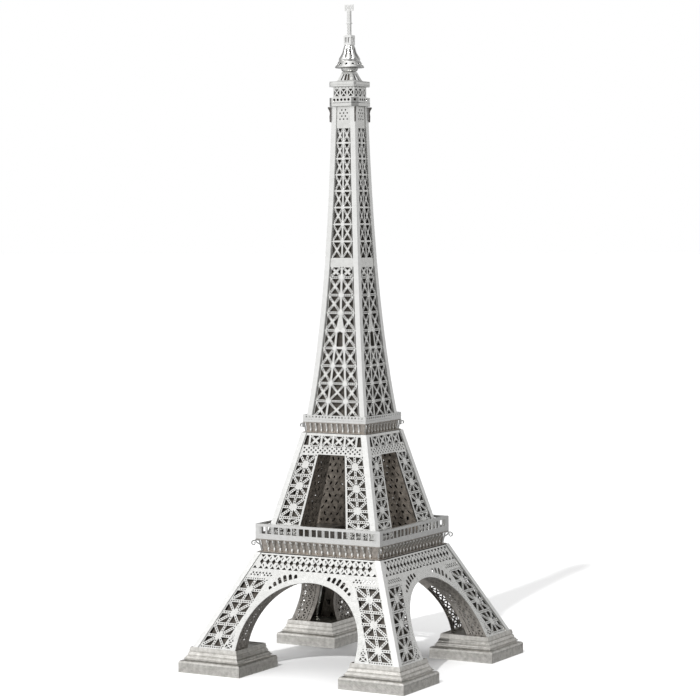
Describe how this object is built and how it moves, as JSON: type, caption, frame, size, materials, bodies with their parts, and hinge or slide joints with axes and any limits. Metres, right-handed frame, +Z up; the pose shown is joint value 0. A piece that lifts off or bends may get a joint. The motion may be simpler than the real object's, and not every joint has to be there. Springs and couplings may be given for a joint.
{
  "type": "miniature landmark model",
  "caption": "Etched sheet-steel kit model of a four-legged lattice tower with arches, galleries, tapering spire and cupola.",
  "frame": {"origin": "centre of the square footprint, on the surface the four plinths stand on", "axes": "+Z up the tower; +X to the right and -Y to the front of the face called front; the four faces are alike"},
  "size_m": [0.093, 0.093, 0.241],
  "materials": {
    "lattice_steel": "brushed",
    "angle_steel": "satin",
    "railing_steel": "satin",
    "bracket_steel": "satin",
    "cornice_steel": "brushed",
    "inner_steel": "brushed",
    "deck_steel": "brushed",
    "summit_steel": "satin",
    "pedestal_steel": "brushed"
  },
  "bodies": {
    "root": {"arch_panel_back": "lattice_steel", "arch_panel_front": "lattice_steel", "arch_panel_left": "lattice_steel", "arch_panel_right": "lattice_steel", "arch_soffit_back": "inner_steel", "arch_soffit_front": "inner_steel", "arch_soffit_left": "inner_steel", "arch_soffit_right": "inner_steel", "cupola_arches": "summit_steel", "cupola_collar": "summit_steel", "cupola_dome": "summit_steel", "cupola_ring": "summit_steel", "gallery_brackets": "bracket_steel", "gallery_cornice": "cornice_steel", "gallery_deck": "deck_steel", "gallery_railing": "railing_steel", "lantern_mast": "summit_steel", "leg_angle_back_left": "angle_steel", "leg_angle_back_right": "angle_steel", "leg_angle_front_left": "angle_steel", "leg_angle_front_right": "angle_steel", "leg_linings": "inner_steel", "middle_angle_back_left": "angle_steel", "middle_angle_back_right": "angle_steel", "middle_angle_front_left": "angle_steel", "middle_angle_front_right": "angle_steel", "middle_inner_back_left": "inner_steel", "middle_inner_back_right": "inner_steel", "middle_inner_front_left": "inner_steel", "middle_inner_front_right": "inner_steel", "middle_panel_back": "lattice_steel", "middle_panel_front": "lattice_steel", "middle_panel_left": "lattice_steel", "middle_panel_right": "lattice_steel", "pedestal_moulding_back_left": "pedestal_steel", "pedestal_moulding_back_right": "pedestal_steel", "pedestal_moulding_front_left": "pedestal_steel", "pedestal_moulding_front_right": "pedestal_steel", "pedestal_plinth_back_left": "pedestal_steel", "pedestal_plinth_back_right": "pedestal_steel", "pedestal_plinth_front_left": "pedestal_steel", "pedestal_plinth_front_right": "pedestal_steel", "spire_angle_back_left": "angle_steel", "spire_angle_back_right": "angle_steel", "spire_angle_front_left": "angle_steel", "spire_angle_front_right": "angle_steel", "spire_lining": "inner_steel", "spire_panel_back": "lattice_steel", "spire_panel_front": "lattice_steel", "spire_panel_left": "lattice_steel", "spire_panel_right": "lattice_steel", "summit_balcony": "summit_steel", "summit_brackets": "summit_steel", "summit_cabin": "summit_steel", "summit_roof": "summit_steel", "upper_brackets": "bracket_steel", "upper_cornice": "cornice_steel", "upper_gallery_deck": "deck_steel", "upper_gallery_railing": "railing_steel"}
  },
  "joints": []
}
